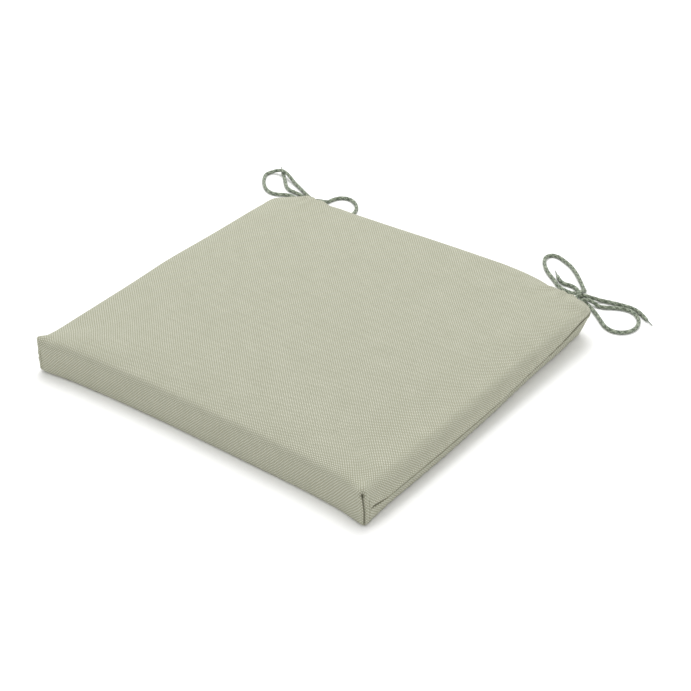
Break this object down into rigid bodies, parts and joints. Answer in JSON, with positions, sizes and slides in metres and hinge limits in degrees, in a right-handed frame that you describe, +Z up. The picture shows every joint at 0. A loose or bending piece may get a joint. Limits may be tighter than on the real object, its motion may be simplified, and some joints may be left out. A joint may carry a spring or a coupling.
{
  "type": "chair seat pad",
  "caption": "Thin square foam seat pad in a woven fabric cover with a back zip and braided cord ties, knotted in a bow at each back corner.",
  "frame": {"origin": "centre of the pad's underside, measured without the tie cords", "axes": "+X to the right along the front edge, +Y to the tied back edge, +Z up"},
  "size_m": [0.5317, 0.5021, 0.039],
  "materials": {
    "cover_fabric": "matt basket weave, pale sage",
    "foam": "open-cell polyurethane foam",
    "thread": "twisted polyester thread",
    "zip_tape": "fine herringbone tape",
    "zip_coil": "satin nylon coil",
    "zip_metal": "satin paint, worn at the edges",
    "cord": "round braid, grey-green with dark flecks",
    "cord_tip": "melted and pinched braid"
  },
  "bodies": {
    "pad": {"cover": "cover_fabric", "foam_core": "foam", "side_seam_thread_left": "thread", "side_seam_thread_right": "thread", "corner_seam_thread_left": "thread", "corner_seam_thread_right": "thread", "zip_stitch_lower": "thread", "zip_stitch_upper": "thread", "zip_tape_lower": "zip_tape", "zip_tape_upper": "zip_tape", "zip_coil_lower": "zip_coil", "zip_coil_upper": "zip_coil", "zip_top_stop_lower": "zip_metal", "zip_top_stop_upper": "zip_metal", "zip_bottom_stop": "zip_metal", "tie_bar_tack_left": "thread", "tie_bar_tack_right": "thread", "tie_left_root_a": "cord", "tie_left_root_b": "cord", "tie_left_loop_a": "cord", "tie_left_loop_b": "cord", "tie_left_end_a": "cord", "tie_left_end_b": "cord", "tie_left_knot": "cord", "tie_left_tip_a": "cord_tip", "tie_left_tip_b": "cord_tip", "tie_right_root_a": "cord", "tie_right_root_b": "cord", "tie_right_loop_a": "cord", "tie_right_loop_b": "cord", "tie_right_end_a": "cord", "tie_right_end_b": "cord", "tie_right_knot": "cord", "tie_right_tip_a": "cord_tip", "tie_right_tip_b": "cord_tip"},
    "slider": {"zip_slider": "zip_metal"},
    "pull": {"zip_pull": "zip_metal"}
  },
  "joints": [
    {"name": "zip_travel", "type": "slide", "parent": "pad", "child": "slider", "axis": [-1, 0, 0], "range_m": [0, 0.282]},
    {"name": "pull_swing", "type": "hinge", "parent": "slider", "child": "pull", "pos_m": [0.1435, 0.1943, 0.025], "axis": [0, 0, -1], "range_deg": [0, 150]}
  ]
}
